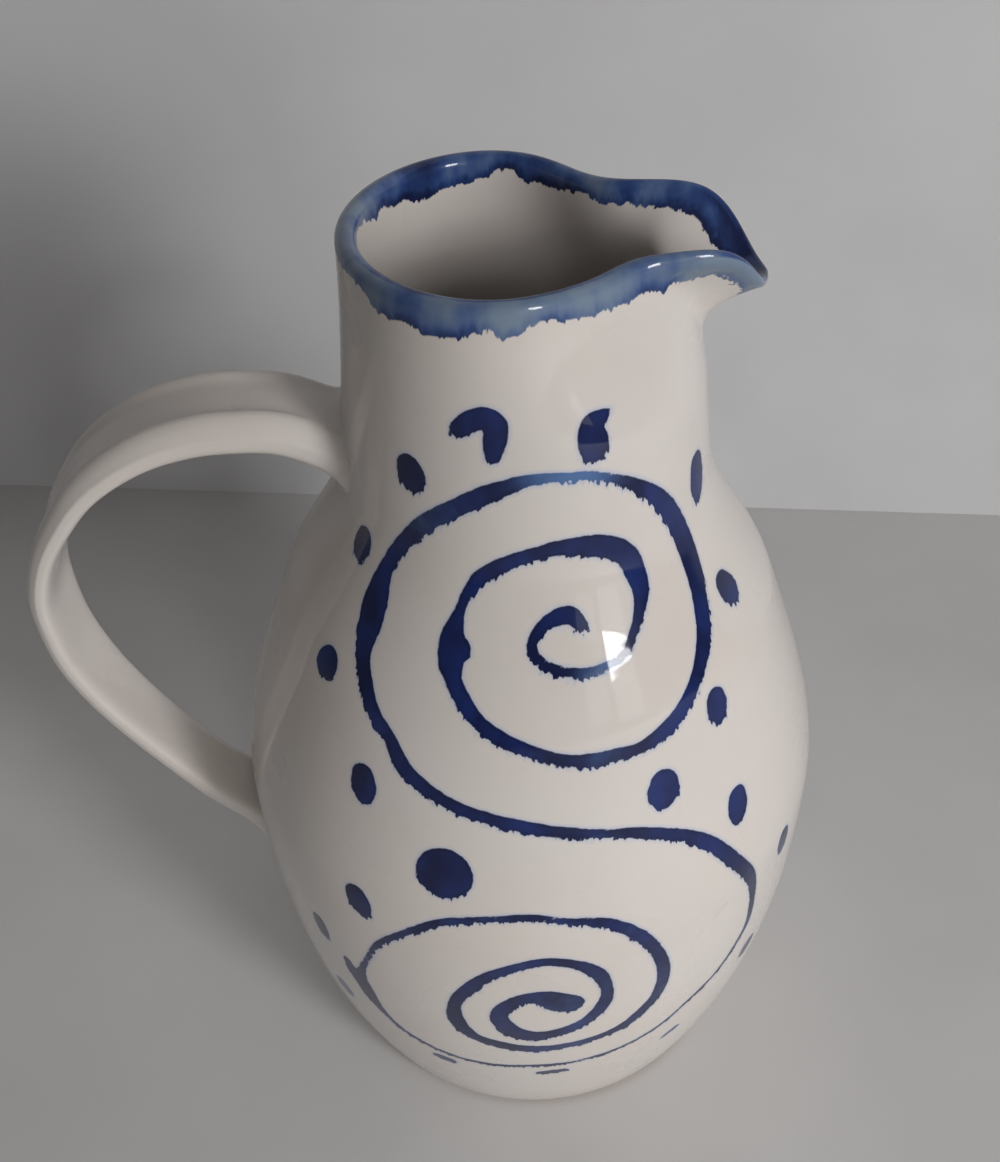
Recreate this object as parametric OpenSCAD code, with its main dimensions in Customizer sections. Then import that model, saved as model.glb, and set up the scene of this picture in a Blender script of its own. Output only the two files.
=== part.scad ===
// Wheel-thrown pouring jug with a pulled beak lip, a pulled strap handle and brushed scroll work.
// Frame: +X towards the lip, handle at -X, front painted face towards -Y, base on z = 0, millimetres.

/* [Thrown body] */
// Height of the rim above the table
rim_z = 220; // [160:1:280]
// Outer radius of the rim, away from the lip
rim_r = 34.3; // [30:0.1:44]
// Height of the top of the neck's shoulder curve, as a share of the rim's height
neck_height_share = 0.773; // [0.74:0.001:0.8]
// Outer radius of the neck at that height
neck_r = 38; // [33:0.5:46]
// Height of the middle of the shoulder, as a share of the rim's height
shoulder_height_share = 0.614; // [0.55:0.001:0.66]
// Outer radius of the shoulder at that height
shoulder_r = 54.5; // [48:0.5:62]
// Height of the fullest part of the belly, as a share of the rim's height
belly_height_share = 0.391; // [0.32:0.001:0.45]
// Outer radius of the belly at its fullest
belly_r = 67; // [58:0.5:80]
// Outer radius of the foot
foot_r = 50; // [40:0.5:58]
// Bevel trimmed round the foot
foot_bevel = 2; // [1:0.5:4]
// Thickness of the thrown wall
wall = 4.8; // [3.5:0.1:7]
// Thickness of the base
base_t = 7; // [5:0.5:12]
// Radius of the throwing curve inside, where wall meets base
inner_curve = 14; // [6:1:20]

/* [Pulled lip] */
// Thickness of the rounded lip
lip_t = 4.1; // [3:0.1:6]
// Height at which the pulling of the lip starts, as a share of the rim's height
lip_start_share = 0.8455; // [0.845:0.0005:0.87]
// How far the lip reaches out past the rim
beak_reach = 12.8; // [6:0.2:18]
// Extra reach of the pointed tip
beak_tip = 0.3; // [0:0.1:4]
// How far the tip hangs below the rim
beak_droop = 12; // [4:0.2:16]
// Depth of the flare under the lip
beak_flare = 13; // [8:0.5:18]
// How far the throat is pinched in beside the lip
throat_pinch = 8.2; // [3:0.2:11]
// How far the rim dips over the throat
throat_dip = 1.2; // [0:0.1:3]

/* [Pulled handle] */
// Height of the handle's middle line where it leaves the neck, as a share of the rim's height
handle_top_share = 0.798; // [0.785:0.001:0.815]
// Height of the handle's middle line where it meets the belly, as a share of the rim's height
handle_low_share = 0.277; // [0.23:0.001:0.34]
// Distance of the handle's middle line from the jug's axis at its widest
handle_out = 105.2; // [90:0.5:120]
// Width of the strap at the neck
strap_w_top = 25; // [18:0.5:32]
// Width of the strap where it is narrowest
strap_w_mid = 22; // [16:0.5:28]
// Width of the strap's pressed tail
strap_w_tail = 27; // [20:0.5:34]
// Thickness of the strap at the neck
strap_t_top = 9.2; // [6:0.2:12]
// Thickness of the strap at its middle
strap_t_mid = 6.8; // [5:0.2:10]
// Depth of the thumb groove down the strap's outer face
groove = 1.3; // [0:0.1:2.5]
// Clearance between the strap's ends and the wall that carries them
joint_gap = 0.12; // [0.05:0.01:0.3]

/* [Joint coils] */
// Leg of the clay coil worked in under the upper joint
upper_coil = 7; // [3:0.5:10]
// Leg of the clay coil worked in round the lower joint
lower_coil = 5; // [2:0.5:8]
// Clearance between a coil and what it is pressed against
coil_gap = 0.25; // [0.1:0.05:0.4]

/* [Painted decoration] */
// Thickness of the painted layer
paint_t = 0.35; // [0.2:0.05:0.6]
// Clearance between the paint and the wall under it
paint_gap = 0.27; // [0.2:0.01:0.3]
// Width of the rim band down the outside, below the rounded crest
band_out = 3.5; // [3:0.1:8]
// Width of the rim band down the inside, below the rounded crest
band_in = 3.3; // [3:0.1:10]
// Ragged run of the band's edges
band_run = 1.1; // [0:0.1:1.2]
// Height of the upper spiral's eye, as a share of the rim's height
upper_eye_share = 0.702; // [0.69:0.001:0.715]
// Reach of the upper spiral from its eye, as a share of the rim's height
upper_reach_share = 0.191; // [0.165:0.001:0.2]
// Height of the lower spiral's eye, as a share of the rim's height
lower_eye_share = 0.3; // [0.285:0.001:0.315]
// Reach of the lower spiral from its eye, as a share of the rim's height
lower_reach_share = 0.1955; // [0.175:0.0005:0.204]
// Width of the brush stroke in the upper spiral
upper_stroke = 4.6; // [2.5:0.1:5.5]
// Width of the brush stroke in the lower spiral
lower_stroke = 2.7; // [1.5:0.1:4]

/* [Hidden] */

// Heights that follow the rim's
neck_z = neck_height_share * rim_z;
shoulder_z = shoulder_height_share * rim_z;
belly_z = belly_height_share * rim_z;
lip_start_z = lip_start_share * rim_z;
handle_top_z = handle_top_share * rim_z;
handle_low_z = handle_low_share * rim_z;
upper_eye_z = upper_eye_share * rim_z;
lower_eye_z = lower_eye_share * rim_z;
// Reach of the two spirals up the wall, which follows the rim's height, and across it, which follows the
// wall's radius. The first two shares are those of height to radius at which a spiral is round
upper_round_share = 4.037;
lower_round_share = 3.284;
upper_scroll_up = upper_reach_share * rim_z;
upper_scroll_across = upper_reach_share * upper_round_share * shoulder_r;
lower_scroll_up = lower_reach_share * rim_z;
lower_scroll_across = lower_reach_share * lower_round_share * belly_r;
// Overrun of every cut past the face it opens
overrun = 1;
// Steps of the thrown profile, and degrees between the lip's sections at the beak and elsewhere
profile_steps = 40;
beak_step = 4;
round_step = 7;
beak_span = 40;
// How much the lip's skirt laps over the top of the turned wall, down it and proud of it
lap = 1;
lap_proud = 0.1;
// Leans of the profile: change of radius for each unit of height
foot_lean_share = 0.44;
shoulder_lean_share = -0.33;
neck_lean_share = -0.11;

// Cubic between two heights with a lean at each, and its slope
function cubic(z0, r0, m0, z1, r1, m1, z) =
    let (h = z1 - z0, t = (z - z0) / h)
    (2 * t * t * t - 3 * t * t + 1) * r0 + (t * t * t - 2 * t * t + t) * h * m0
    + (3 * t * t - 2 * t * t * t) * r1 + (t * t * t - t * t) * h * m1;

// Outer radius of the thrown wall at a height
function out_r(z) =
    z < belly_z ? cubic(0, foot_r, foot_lean_share, belly_z, belly_r, 0, z)
    : z < shoulder_z ? cubic(belly_z, belly_r, 0, shoulder_z, shoulder_r, shoulder_lean_share, z)
    : z < neck_z ? cubic(shoulder_z, shoulder_r, shoulder_lean_share, neck_z, neck_r, neck_lean_share, z)
    : cubic(neck_z, neck_r, neck_lean_share, rim_z, rim_r, 0, z);

// Lean of the wall at a height, measured over a short rise
probe = rim_z / 1000;
function lean(z) = (out_r(z + probe) - out_r(z - probe)) / (2 * probe);

// Radius of a wall surface that lies a distance off the outer one, measured square to it
function slope_length(z) = sqrt(1 + lean(z) * lean(z));
function off_r(z, d) = out_r(z) + d * slope_length(z);

function heights(from, to, n) = [for (i = [0:n]) from + (to - from) * i / n];

// Closed outline of the turned wall and base, up to where the lip is pulled
function wall_outline() =
    let (corner_z = base_t + inner_curve, corner_r = off_r(corner_z, -wall) - inner_curve)
    concat(
        [[0, 0], [foot_r - foot_bevel, 0]],
        [for (z = heights(foot_bevel, lip_start_z, profile_steps)) [out_r(z), z]],
        [for (z = heights(lip_start_z, corner_z, profile_steps)) [off_r(z, -wall), z]],
        [for (a = [15:15:90]) [corner_r + inner_curve * cos(a), corner_z - inner_curve * sin(a)]],
        [[0, base_t]]);

// Space that the turned wall fills, grown outwards, for cutting what is pressed against it
module wall_space(grow) {
    rotate_extrude($fn = 180)
        polygon(concat(
            [[0, -overrun]],
            [for (z = heights(-overrun, rim_z, profile_steps)) [off_r(z, grow), z]],
            [[0, rim_z]]));
}

// Pull of the lip round the rim: angles are measured from the beak, 0 to 180
function bell(a, centre, width, power) = exp(-pow(abs(a - centre) / width, power));
function from_beak(a) = abs(a > 180 ? a - 360 : a < -180 ? a + 360 : a);
function beak_pull(a) = beak_reach * bell(a, 0, 27.3, 3.3) + beak_tip * bell(a, 0, 6, 2);
function pinch_pull(a) = throat_pinch * bell(a, 52.6, 37.5, 2);
function crest_drop(a) = beak_droop * bell(a, 0, 15.3, 3.2) + throat_dip * bell(a, 56.8, 20.6, 2);
function ease(t) = t <= 0 ? 0 : t >= 1 ? 1 : t * t * (3 - 2 * t);

// Middle of the lip's wall: b is the bearing, s runs from the skirt, 0, to the crest, 1
function crest_z(b) = rim_z - lip_t / 2 - crest_drop(from_beak(b));
function mid_z(b, s) = lip_start_z - lap + (crest_z(b) - lip_start_z + lap) * s;
function mid_r(b, s) =
    let (a = from_beak(b), z = mid_z(b, s), zc = crest_z(b),
         flare = max(0, (z - zc + beak_flare) / beak_flare),
         squeeze = ease((z - lip_start_z) / (zc - lip_start_z)))
    out_r(z) - (wall + (lip_t - wall) * s) / 2 + beak_pull(a) * flare * flare - pinch_pull(a) * squeeze;
// Point off the middle by d square to the wall, outwards positive, as [radius, height]
nudge = 0.002;
function lip_normal(b, s) =
    let (dr = mid_r(b, s + nudge) - mid_r(b, s - nudge), dz = mid_z(b, s + nudge) - mid_z(b, s - nudge),
         l = sqrt(dr * dr + dz * dz))
    [dz / l, -dr / l];
function lip_point(b, s, d) = [mid_r(b, s), mid_z(b, s)] + lip_normal(b, s) * d;
// Point on the rounded crest: t is 0 at its outer edge and 180 at its inner edge
function crest_point(b, t, r) =
    let (n = lip_normal(b, 1))
    [mid_r(b, 1), mid_z(b, 1)] + r * [n[0] * cos(t) - n[1] * sin(t), n[1] * cos(t) + n[0] * sin(t)];
function half_t(s) = (wall + (lip_t - wall) * s) / 2 + lap_proud * (1 - s);

bearings = concat([for (b = [-beak_span:beak_step:beak_span]) b],
                  [for (b = [beak_span + round_step:round_step:360 - beak_span - round_step]) b]);
function at_bearing(b, p) = [p[0] * cos(b), p[0] * sin(b), p[1]];

// Solid through rings of equal length; closed joins the last ring to the first, else both ends are capped
module skin(rings, closed) {
    m = len(rings[0]);
    n = len(rings);
    points = [for (ring = rings) for (p = ring) p];
    sides = [for (i = [0:(closed ? n - 1 : n - 2)]) for (j = [0:m - 1])
        let (a = i * m + j, b = i * m + (j + 1) % m, next = ((i + 1) % n) * m,
             c = next + (j + 1) % m, d = next + j)
        each [[a, b, c], [a, c, d]]];
    caps = closed ? [] : [[for (j = [m - 1:-1:0]) j], [for (j = [0:m - 1]) (n - 1) * m + j]];
    polyhedron(points, concat(sides, caps), convexity = 6);
}

// Pulled lip, from its skirt over the crest and down the inside. Its second ring stands as far above the
// turned wall's top as the skirt laps below it, and the rest close up towards the crest
lip_rings = 13;
function ring_share(b, k) =
    let (skirt = 2 * lap / (crest_z(b) - lip_start_z + lap))
    k == 0 ? 0 : skirt + (1 - skirt) * (1 - pow(1 - (k - 1) / (lip_rings - 1), 1.3));
module pulled_lip() {
    skin([for (b = bearings) let (shares = [for (k = [0:lip_rings]) ring_share(b, k)]) concat(
        [for (s = shares) at_bearing(b, lip_point(b, s, half_t(s)))],
        [for (t = [45:45:135]) at_bearing(b, crest_point(b, t, lip_t / 2))],
        [for (k = [lip_rings:-1:0]) at_bearing(b, lip_point(b, shares[k], -half_t(shares[k])))])], true);
}

module thrown_body() {
    color("ivory") union() {
        rotate_extrude($fn = 180) polygon(wall_outline());
        pulled_lip();
    }
}

// Middle line of the handle in its own plane: x is the distance from the jug's axis
handle_drop = handle_top_z - handle_low_z;
neck_here = out_r(handle_top_z);
belly_here = out_r(handle_low_z);
reach_top = handle_out - neck_here;
reach_low = handle_out - belly_here;
// Each row is a share of the reach past the wall and a share of the drop from the top
top_run_shares = [[-0.10, 0.035], [0.04, -0.010], [0.17, -0.040], [0.30, -0.045], [0.42, -0.036],
                  [0.54, -0.012], [0.66, 0.025], [0.77, 0.070], [0.87, 0.130], [0.95, 0.205],
                  [0.99, 0.285], [1.00, 0.360]];
low_run_shares = [[0.965, 0.475], [0.87, 0.590], [0.72, 0.705], [0.51, 0.805], [0.30, 0.890],
                  [0.11, 0.965], [-0.06, 1.045]];
handle_knots = concat(
    [for (p = top_run_shares) [neck_here + p[0] * reach_top, handle_top_z - p[1] * handle_drop]],
    [for (p = low_run_shares) [belly_here + p[0] * reach_low, handle_top_z - p[1] * handle_drop]]);

// Smooth curve through knots, u counts knots
function knot(k, i) = k[max(0, min(len(k) - 1, i))];
function through(k, u) =
    let (i = min(floor(u), len(k) - 2), t = u - i, a = knot(k, i - 1), b = knot(k, i),
         c = knot(k, i + 1), d = knot(k, i + 2))
    (2 * b + (c - a) * t + (2 * a - 5 * b + 4 * c - d) * t * t + (3 * b - a - 3 * c + d) * t * t * t) / 2;

handle_steps = 44;
function handle_at(s) = through(handle_knots, s * (len(handle_knots) - 1));
function unit(v) = v / norm(v);
function handle_way(s) = unit(handle_at(min(1, s + 0.01)) - handle_at(max(0, s - 0.01)));
// Width and thickness of the strap along its length, 0 at the neck and 1 at the tail
function strap_w(s) = s < 0.5 ? strap_w_top + (strap_w_mid - strap_w_top) * ease(s * 2)
    : strap_w_mid + (strap_w_tail - strap_w_mid) * pow(s * 2 - 1, 3);
strap_t_tail = strap_t_mid - groove;
function strap_t(s) = s < 0.4 ? strap_t_top + (strap_t_mid - strap_t_top) * ease(s / 0.4)
    : strap_t_mid + (strap_t_tail - strap_t_mid) * ease((s - 0.4) / 0.6);
// Section of the strap as shares of half its width and half its thickness, the groove on the outside
strap_sides = 18;
function side_share(v) = sign(v) * pow(abs(v), 0.55);
function strap_section(w, t, g) = [for (i = [0:strap_sides - 1])
    let (a = 360 * i / strap_sides, x = side_share(cos(a)), y = side_share(sin(a)))
    [x * w / 2, y * t / 2 - (y > 0 ? g * pow(cos(90 * x), 2) * y : 0)]];
function groove_at(s) = groove * ease(s * 6) * ease((1 - s) * 5);

function strap_ring(s, grow) =
    let (p = handle_at(s), way = handle_way(s), out = [-way[1], way[0]])
    [for (q = strap_section(strap_w(s) + 2 * grow, strap_t(s) + 2 * grow, groove_at(s)))
        [-(p[0] + out[0] * q[1]), q[0], p[1] + out[1] * q[1]]];

module strap(grow = 0) {
    skin([for (i = [0:handle_steps]) strap_ring(i / handle_steps, grow)], false);
}

module pulled_handle() {
    color("linen") difference() {
        strap();
        wall_space(joint_gap);
    }
}

// Coil worked into the corner between the strap and the wall. Each of its sections starts at the point
// where one line along the strap meets the wall, with one leg up the strap and one along the wall
coil_steps = 20;
handle_run = handle_drop + reach_top + reach_low;
function strap_line(s, a, grow) =
    let (p = handle_at(s), way = handle_way(s), x = side_share(cos(a)), y = side_share(sin(a)),
         q = [x * (strap_w(s) / 2 + grow), y * (strap_t(s) / 2 + grow)])
    [-(p[0] - way[1] * q[1]), q[0], p[1] + way[0] * q[1]];
function in_wall(p) = norm([p[0], p[1]]) < off_r(p[2], coil_gap);
// Share of the strap's length at which a line meets the wall, by halving between inside and outside
function meet(a, inside, outside, tries) =
    let (s = (inside + outside) / 2)
    tries == 0 ? s : in_wall(strap_line(s, a, coil_gap)) ? meet(a, s, outside, tries - 1)
    : meet(a, inside, s, tries - 1);
function onto_wall(p) =
    let (r = off_r(p[2], coil_gap), l = norm([p[0], p[1]]))
    [p[0] * r / l, p[1] * r / l, p[2]];
module joint_coil(inside, outside, leg) {
    step = sign(outside - inside);
    rings = [for (i = [0:coil_steps])
        let (t = i / coil_steps, a = -180 * t, s = meet(a, inside, outside, 14),
             l = leg * (0.2 + 0.8 * sin(180 * t)), root = strap_line(s, a, coil_gap),
             up = strap_line(s + step * l / handle_run, a, coil_gap),
             off = unit(strap_line(s, a, coil_gap + probe) - root),
             down = onto_wall(root + off * l), u = up - root, v = down - root)
        [root, up, root + u * 0.42 + v * 0.14, root + u * 0.14 + v * 0.42, down,
         onto_wall(root + off * l / 2)]];
    skin(step > 0 ? rings : [for (i = [coil_steps:-1:0]) rings[i]], false);
}

// Shares of the strap's length that lie inside the wall and clear of it at each joint
upper_inside_share = 0;
upper_outside_share = 0.2;
lower_inside_share = 1;
lower_outside_share = 0.8;
module upper_joint_coil() {
    color("wheat") joint_coil(upper_inside_share, upper_outside_share, upper_coil);
}
module lower_joint_coil() {
    color("wheat") joint_coil(lower_inside_share, lower_outside_share, lower_coil);
}

// Cobalt band brushed over the rim, with ragged edges, in as many steps down each side as follow the wall
band_steps = 4;
function ragged(b, phase) =
    band_run * (0.5 * sin(7 * b + phase) + 0.3 * sin(13 * b + 2 * phase) + 0.2 * sin(29 * b));
function band_share(b, depth) = 1 - depth / (crest_z(b) - lip_start_z + lap);
module rim_band() {
    near = paint_gap;
    far = paint_gap + paint_t;
    color("steelblue") skin([for (b = bearings)
        let (so = band_share(b, band_out * (1 - 0.5 * bell(from_beak(b), 180, 35, 2)) + ragged(b, 0)),
             si = band_share(b, band_in * (1 - 0.45 * bell(from_beak(b), 0, 14, 2)) + ragged(b, 50)),
             outer = [for (i = [0:band_steps]) so + (1 - so) * i / band_steps],
             inner = [for (i = [0:band_steps]) 1 - (1 - si) * i / band_steps])
        concat(
            [for (s = outer) at_bearing(b, lip_point(b, s, half_t(s) + far))],
            [for (t = [45:45:135]) at_bearing(b, crest_point(b, t, lip_t / 2 + far))],
            [for (s = inner) at_bearing(b, lip_point(b, s, -half_t(s) - far))],
            [for (i = [band_steps:-1:0]) at_bearing(b, lip_point(b, inner[i], -half_t(inner[i]) - near))],
            [for (t = [135:-45:45]) at_bearing(b, crest_point(b, t, lip_t / 2 + near))],
            [for (i = [band_steps:-1:0])
                at_bearing(b, lip_point(b, outer[i], half_t(outer[i]) + near))])], true);
}

// Brushed S-scroll: two spirals drawn round their eyes, joined by a slanting stroke.
// A place on the wall is [distance across from the front line, height]; spirals give a radius
// every eighth turn, as shares of their reach, starting at the bearing named
upper_eye_turn = 6;
upper_first = 45;
upper_turn_shares = [0.13, 0.11, 0.10, 0.12, 0.125, 0.13, 0.19, 0.38, 0.485, 0.425,
                     0.44, 0.49, 0.49, 0.50, 0.66, 0.765, 0.76, 0.79, 0.755, 0.945, 0.995];
lower_turn_shares = [0.69, 0.91, 1.00, 0.855, 0.77, 0.715, 0.63, 0.47, 0.405, 0.47, 0.47,
                     0.43, 0.47, 0.405, 0.33, 0.24, 0.24, 0.26, 0.225, 0.19, 0.19, 0.15];
lower_first = -90;
// The slanting stroke: turn about the jug's axis, and share of the way down between the two eyes
slant_places_shares = [[-9, 0.374], [5, 0.407], [19.7, 0.447], [32.5, 0.53], [40, 0.65], [44.5, 0.774],
                       [46.5, 0.91], [45.5, 1.045], [39.5, 1.18], [28, 1.275], [14, 1.33]];
eye_fall = upper_eye_z - lower_eye_z;

// Place as [turn about the axis, height]
function round_eye(turn, z, share, across, up, a) =
    let (h = z + share * up * sin(a))
    [turn + share * across * cos(a) / out_r(h) * 180 / PI, h];
scroll_knots = concat(
    [for (i = [0:len(upper_turn_shares) - 1])
        round_eye(upper_eye_turn, upper_eye_z, upper_turn_shares[i], upper_scroll_across, upper_scroll_up,
                  upper_first + i * 45)],
    [for (p = slant_places_shares) [p[0], upper_eye_z - p[1] * eye_fall]],
    [for (i = [0:len(lower_turn_shares) - 1])
        round_eye(0, lower_eye_z, lower_turn_shares[i], lower_scroll_across, lower_scroll_up,
                  lower_first - i * 45)]);
scroll_turns = len(scroll_knots) - 1;

// Point on the painted layer: turn 0 is the front line, d is the height above the wall or the pulled lip
function on_lip(b, z, d) =
    let (s = (z - lip_start_z + lap) / (crest_z(b) - lip_start_z + lap))
    at_bearing(b, lip_point(b, s, half_t(s) + d));
function on_wall(turn, z, d) =
    z > lip_start_z - lap ? on_lip(turn - 90, z, d)
    : let (r = off_r(z, d + lap_proud * ease(1 + (z - lip_start_z) / (8 * lap))))
    [r * sin(turn), -r * cos(turn), z];

// Brush width along the stroke: full in the upper spiral, lighter in the lower one, with a dab at each end
function brush(u) =
    let (v = u / scroll_turns, load = upper_stroke + (lower_stroke - upper_stroke) * ease((v - 0.35) / 0.25),
         dabbed = bell(u, 0, 0.7, 2) + bell(u, scroll_turns, 0.7, 2))
    load * (0.85 + 0.2 * sin(u * 75)) + upper_stroke * 0.3 * dabbed;

// Longest step along the stroke, and the steps of each run between two knots
stroke_step = 4.2;
function knot_gap(i) =
    let (a = scroll_knots[i], b = scroll_knots[i + 1])
    norm([(b[0] - a[0]) * PI / 180 * out_r(a[1]), b[1] - a[1]]);
stroke_stops = concat(
    [for (i = [0:scroll_turns - 1]) let (n = max(2, ceil(knot_gap(i) / stroke_step)))
        each [for (j = [0:n - 1]) i + j / n]],
    [scroll_turns]);
// turned is how far round the jug the motif is painted: 0 in front, 180 behind
module scroll(turned) {
    rings = [for (u = stroke_stops)
        let (p = through(scroll_knots, u),
             q = through(scroll_knots, min(scroll_turns, u + 0.05)),
             o = through(scroll_knots, max(0, u - 0.05)),
             turn_per_mm = 180 / PI / out_r(p[1]), slant = slope_length(p[1]),
             w = unit([-(q[1] - o[1]) * slant, (q[0] - o[0]) / turn_per_mm]) * brush(u) / 2,
             dt = w[0] * turn_per_mm, dz = w[1] / slant)
        [for (k = [[-1, 0], [1, 0], [1, 1], [-1, 1]])
            on_wall(p[0] + turned + k[0] * dt, p[1] + k[0] * dz, paint_gap + k[1] * paint_t)]];
    skin(rings, false);
}

// Length of a usual dab of the brush. Each dab below has its turn about the axis, share of the rim's
// height, width and height as shares of a usual dab, and slant
dab = 8.5;
dab_places_shares = [
    [-14.5, 0.894, 1.15, 1.1, 35], [18.9, 0.889, 0.75, 1.35, -15], [-36.7, 0.837, 0.8, 0.95, 20],
    [60.5, 0.789, 0.65, 1.2, 0], [-56, 0.741, 0.6, 0.8, 0], [58, 0.682, 0.7, 0.85, 25],
    [-53, 0.639, 0.75, 0.8, -10], [41.7, 0.606, 0.62, 0.85, 0], [-36.1, 0.55, 0.65, 0.95, 15],
    [25, 0.555, 0.7, 1, 10], [41.4, 0.498, 0.6, 0.95, 0], [-17.8, 0.491, 1.3, 1.3, 0],
    [-35.3, 0.417, 0.75, 1.1, 20], [56, 0.388, 0.55, 0.95, 0], [-52, 0.318, 0.7, 1.1, 15],
    [-47, 0.206, 0.6, 0.9, 15], [-22, 0.115, 0.75, 0.8, 60], [1, 0.105, 0.8, 0.75, 80],
    [32, 0.15, 0.65, 0.9, -50], [50, 0.235, 0.6, 0.9, -20]];
dab_sides = 10;
module dabs(turned) {
    for (d = dab_places_shares) {
        z0 = d[1] * rim_z;
        edge = [for (i = [0:dab_sides - 1])
            let (a = 360 * i / dab_sides, k = 0.5 * dab * (1 + 0.12 * sin(3 * a + d[0] * 7)),
                 x = d[2] * k * cos(a), y = d[3] * k * sin(a),
                 across = x * cos(d[4]) - y * sin(d[4]),
                 rise = (x * sin(d[4]) + y * cos(d[4])) / slope_length(z0))
            [d[0] + across / out_r(z0 + rise) * 180 / PI, z0 + rise]];
        under = [for (e = concat(edge, [[d[0], z0]])) on_wall(e[0] + turned, e[1], paint_gap)];
        over = [for (e = concat(edge, [[d[0], z0]])) on_wall(e[0] + turned, e[1], paint_gap + paint_t)];
        n = dab_sides;
        m = n + 1;
        polyhedron(concat(under, over), [for (i = [0:n - 1]) let (j = (i + 1) % n)
            each [[i, j, m + j], [i, m + j, m + i], [j, i, n], [m + i, m + j, m + n]]]);
    }
}

module front_scroll() {
    color("midnightblue") scroll(0);
}
module front_dots() {
    color("midnightblue") dabs(0);
}
module back_scroll() {
    color("midnightblue") scroll(180);
}
module back_dots() {
    color("midnightblue") dabs(180);
}

thrown_body();
pulled_handle();
upper_joint_coil();
lower_joint_coil();
rim_band();
front_scroll();
front_dots();
back_scroll();
back_dots();
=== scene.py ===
import math

import bpy
from mathutils import Matrix, Vector, noise
from mathutils.kdtree import KDTree


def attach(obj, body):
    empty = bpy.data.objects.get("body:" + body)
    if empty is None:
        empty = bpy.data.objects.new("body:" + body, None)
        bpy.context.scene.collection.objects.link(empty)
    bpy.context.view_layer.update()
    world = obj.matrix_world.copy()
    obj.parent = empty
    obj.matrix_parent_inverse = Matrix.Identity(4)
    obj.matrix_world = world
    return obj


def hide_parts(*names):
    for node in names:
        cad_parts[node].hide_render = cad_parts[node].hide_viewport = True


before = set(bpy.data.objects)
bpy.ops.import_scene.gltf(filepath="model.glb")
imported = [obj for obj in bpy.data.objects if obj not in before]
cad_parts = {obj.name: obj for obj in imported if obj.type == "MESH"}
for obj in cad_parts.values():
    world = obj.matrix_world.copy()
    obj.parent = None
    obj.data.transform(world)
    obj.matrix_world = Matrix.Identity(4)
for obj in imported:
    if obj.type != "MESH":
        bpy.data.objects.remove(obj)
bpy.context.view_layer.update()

mm = 0.001
nudge = 0.1  # millimetres to each side of a point where a surface's lean is measured
weldGap = 0.00001  # metres


# Sums shared by the pieces

def mix(a, b, share):
    return a + (b - a) * share


def ease(share):
    share = min(1.0, max(0.0, share))
    return share * share * (3 - 2 * share)


def bell(away, width, power=2.0):  # 1 in the middle, and a higher power makes its top squarer
    return math.exp(-abs(away / width) ** power)


def cubic(low, high, z):  # between two [height, radius, lean] stations
    h = high[0] - low[0]
    t = (z - low[0]) / h
    return ((2 * t ** 3 - 3 * t ** 2 + 1) * low[1] + (t ** 3 - 2 * t ** 2 + t) * h * low[2]
            + (3 * t ** 2 - 2 * t ** 3) * high[1] + (t ** 3 - t ** 2) * h * high[2])


def through(knots, at):  # smooth curve through knots, at counts knots
    last = len(knots) - 1
    i = min(int(at), last - 1)
    t = at - i
    near = [knots[max(0, min(last, i + k))] for k in (-1, 0, 1, 2)]
    return [(2 * b + (c - a) * t + (2 * a - 5 * b + 4 * c - d) * t * t
             + (3 * b - a - 3 * c + d) * t ** 3) / 2 for a, b, c, d in zip(*near)]


def along(pairs, at):  # straight lines between [place, value] pairs
    for (p, a), (q, b) in zip(pairs, pairs[1:]):
        if at <= q:
            return mix(a, b, max(0.0, (at - p) / (q - p)))
    return pairs[-1][1]


# Wall of the thrown jug, in millimetres

jug = {
    "stations": [[0, 50, 0.44], [86.02, 67, 0], [135.08, 54.5, -0.33], [170.06, 38, -0.11], [220, 34.3, 0]],
    "rimHeight": 220,
    "wall": 4.8,
    "base": 7,
    "insideCurve": 14,
    "footRings": [0, 10, 20, 30, 38, 44, 47],            # radii on the flat foot
    "footBevel": 2,
    "bevelRings": [[-1.9, 0], [-0.7, 0.15], [0.15, 0.7]],  # out from the foot's radius, and up
    "lipStart": 186.01,
    "lipThickness": 4.1,
    "lipLap": 1,
    # each pull on the lip is a length and how many degrees it spreads, with a power for the squarer ones
    "beakReach": 12.6,
    "beakSpread": [27.3, 3.3],
    "beakTip": 0.3,
    "tipSpread": 6,
    "beakDroop": 10.6,
    "droopSpread": [15.3, 3.2],
    "beakFlare": 13,
    "flareCurve": 3,
    "beakThin": 2.3,  # how much thinner the lip is drawn out at the beak's tip
    "thinSpread": 16,
    "thinCurve": 4,
    "throatPinch": 7.9,
    "pinchAt": 52.6,  # degrees from the beak
    "pinchSpread": 37.5,
    "throatDip": 1.2,
    "dipAt": 56.8,
    "dipSpread": 20.6,
    "segments": 300,
    "outsideRows": 146,
    "lipRows": 34,
    "crestRows": 12,
    "insideRows": 40,
    "cornerRows": 8,
    "floorRows": 8,
}
footRadius = jug["stations"][0][1]

# What throwing by hand leaves in the wall, fading out towards foot and rim
thrown = {
    "ring": 0.012,  # depth of the finger rings
    "pitch": 3.6,
    "wobble": 0.12,
    "wobbleRound": 1.3,
    "wobbleUp": 0.03,
    "footClear": 6,
    "footFade": 20,
    "rimClear": 12,
    "rimFade": 25,
}


def outerRadius(z):
    for low, high in zip(jug["stations"], jug["stations"][1:]):
        if z <= high[0]:
            return cubic(low, high, z)
    return jug["stations"][-1][1]


def offRadius(z, off):  # radius of a surface that lies off the outer one, square to it
    lean = (outerRadius(z + 2 * nudge) - outerRadius(z - 2 * nudge)) / (4 * nudge)
    return outerRadius(z) + off * math.sqrt(1 + lean * lean)


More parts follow.
